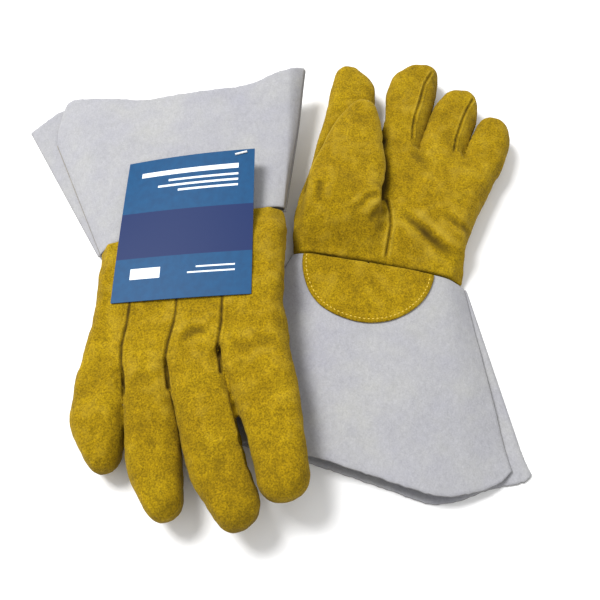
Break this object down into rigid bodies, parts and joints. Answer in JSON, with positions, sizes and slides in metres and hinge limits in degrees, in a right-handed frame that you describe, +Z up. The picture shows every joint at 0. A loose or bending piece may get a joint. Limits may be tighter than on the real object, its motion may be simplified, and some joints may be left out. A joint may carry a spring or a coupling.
{
  "type": "welding gloves",
  "caption": "Pair of gauntlet welding gloves in gold suede with pale grey flared cuffs, one palm up and one back up, with a hang tag.",
  "frame": {"origin": "centre of the footprint of the pair on the table", "axes": "+Z up from the table; the left-hand glove points to +Y, its fingers away from the viewer; +X to the viewer's right"},
  "size_m": [0.3874, 0.379, 0.0462],
  "materials": {
    "gold_suede": "brushed gold split cowhide suede, matt nap",
    "grey_split_leather": "pale grey split cowhide, matt nap",
    "fleece_lining": "napped cotton fleece",
    "seam_thread": "yellow aramid sewing thread",
    "welt_leather": "cream leather welt",
    "tag_card": "printed blue card with a satin varnish",
    "tag_barb": "clear nylon"
  },
  "bodies": {
    "left_cuff": {"left_cuff_upper_panel": "grey_split_leather", "left_cuff_lower_panel": "grey_split_leather", "left_cuff_welts": "welt_leather", "left_heel_patch": "gold_suede", "left_heel_stitching": "seam_thread"},
    "left_hand": {"left_palm": "gold_suede", "left_thumb_wing": "gold_suede", "left_index_back_strip": "gold_suede", "left_middle_back_strip": "gold_suede", "left_ring_back_strip": "gold_suede", "left_little_back_strip": "gold_suede", "left_hand_lining": "fleece_lining"},
    "left_index": {"left_index_front": "gold_suede", "left_index_back": "gold_suede", "left_index_lining": "fleece_lining"},
    "left_middle": {"left_middle_front": "gold_suede", "left_middle_back": "gold_suede", "left_middle_lining": "fleece_lining"},
    "left_ring": {"left_ring_front": "gold_suede", "left_ring_back": "gold_suede", "left_ring_lining": "fleece_lining"},
    "left_little": {"left_little_front": "gold_suede", "left_little_back": "gold_suede", "left_little_lining": "fleece_lining"},
    "left_thumb": {"left_thumb_front": "gold_suede", "left_thumb_back": "gold_suede", "left_thumb_lining": "fleece_lining"},
    "right_cuff": {"right_cuff_upper_panel": "grey_split_leather", "right_cuff_lower_panel": "grey_split_leather", "right_cuff_welts": "welt_leather", "right_heel_patch": "gold_suede", "right_heel_stitching": "seam_thread"},
    "right_hand": {"right_palm": "gold_suede", "right_thumb_wing": "gold_suede", "right_index_back_strip": "gold_suede", "right_middle_back_strip": "gold_suede", "right_ring_back_strip": "gold_suede", "right_little_back_strip": "gold_suede", "right_hand_lining": "fleece_lining"},
    "right_index": {"right_index_front": "gold_suede", "right_index_back": "gold_suede", "right_index_lining": "fleece_lining"},
    "right_middle": {"right_middle_front": "gold_suede", "right_middle_back": "gold_suede", "right_middle_lining": "fleece_lining"},
    "right_ring": {"right_ring_front": "gold_suede", "right_ring_back": "gold_suede", "right_ring_lining": "fleece_lining"},
    "right_little": {"right_little_front": "gold_suede", "right_little_back": "gold_suede", "right_little_lining": "fleece_lining"},
    "right_thumb": {"right_thumb_front": "gold_suede", "right_thumb_back": "gold_suede", "right_thumb_lining": "fleece_lining"},
    "tag": {"tag_card": "tag_card", "tag_fastener": "tag_barb"}
  },
  "joints": [
    {"name": "right_glove_lift_off", "type": "slide", "parent": "left_cuff", "child": "right_cuff", "axis": [0, 0, 1], "range_m": [0, 0.12]},
    {"name": "left_wrist_bend", "type": "hinge", "parent": "left_cuff", "child": "left_hand", "pos_m": [0.07734, -0.00256, 0.024], "axis": [0.9825, -0.186, 0], "range_deg": [0, 45]},
    {"name": "left_index_curl", "type": "hinge", "parent": "left_hand", "child": "left_index", "pos_m": [0.06652, 0.10533, 0.024], "axis": [0.9825, -0.186, 0], "range_deg": [0, 60]},
    {"name": "left_middle_curl", "type": "hinge", "parent": "left_hand", "child": "left_middle", "pos_m": [0.10504, 0.09804, 0.024], "axis": [0.9825, -0.186, 0], "range_deg": [0, 60]},
    {"name": "left_ring_curl", "type": "hinge", "parent": "left_hand", "child": "left_ring", "pos_m": [0.13633, 0.09212, 0.024], "axis": [0.9825, -0.186, 0], "range_deg": [0, 60]},
    {"name": "left_little_curl", "type": "hinge", "parent": "left_hand", "child": "left_little", "pos_m": [0.16895, 0.08594, 0.024], "axis": [0.9825, -0.186, 0], "range_deg": [0, 60]},
    {"name": "left_thumb_lift", "type": "hinge", "parent": "left_hand", "child": "left_thumb", "pos_m": [0.0608, 0.04718, 0.0434], "axis": [0.9825, -0.186, 0], "range_deg": [0, 60]},
    {"name": "right_wrist_bend", "type": "hinge", "parent": "right_cuff", "child": "right_hand", "pos_m": [-0.05444, 0.02351, 0.03577], "axis": [-0.9725, -0.1866, -0.1391], "range_deg": [0, 45]},
    {"name": "right_index_bend_back", "type": "hinge", "parent": "right_hand", "child": "right_index", "pos_m": [-0.00329, -0.07258, 0.04028], "axis": [-0.9725, -0.1866, -0.1391], "range_deg": [0, 45]},
    {"name": "right_middle_bend_back", "type": "hinge", "parent": "right_hand", "child": "right_middle", "pos_m": [-0.04282, -0.08016, 0.03463], "axis": [-0.9725, -0.1866, -0.1391], "range_deg": [0, 45]},
    {"name": "right_ring_bend_back", "type": "hinge", "parent": "right_hand", "child": "right_ring", "pos_m": [-0.07384, -0.08611, 0.03019], "axis": [-0.9725, -0.1866, -0.1391], "range_deg": [0, 45]},
    {"name": "right_little_bend_back", "type": "hinge", "parent": "right_hand", "child": "right_little", "pos_m": [-0.10399, -0.0919, 0.02587], "axis": [-0.9725, -0.1866, -0.1391], "range_deg": [0, 45]},
    {"name": "right_thumb_open", "type": "hinge", "parent": "right_hand", "child": "right_thumb", "pos_m": [-0.00899, -0.01441, 0.00973], "axis": [0.9725, 0.1866, 0.1391], "range_deg": [0, 45]},
    {"name": "tag_lift", "type": "hinge", "parent": "right_cuff", "child": "tag", "pos_m": [-0.01332, 0.07518, 0.0312], "axis": [-0.9906, -0.0045, -0.1368], "range_deg": [0, 45]}
  ],
  "couplings": [
    {"joint": "left_thumb_lift", "follows": "left_index_curl", "ratio": 1},
    {"joint": "right_thumb_open", "follows": "right_glove_lift_off", "rad_per_m": 6.5},
    {"joint": "tag_lift", "follows": "right_wrist_bend", "ratio": 1}
  ]
}
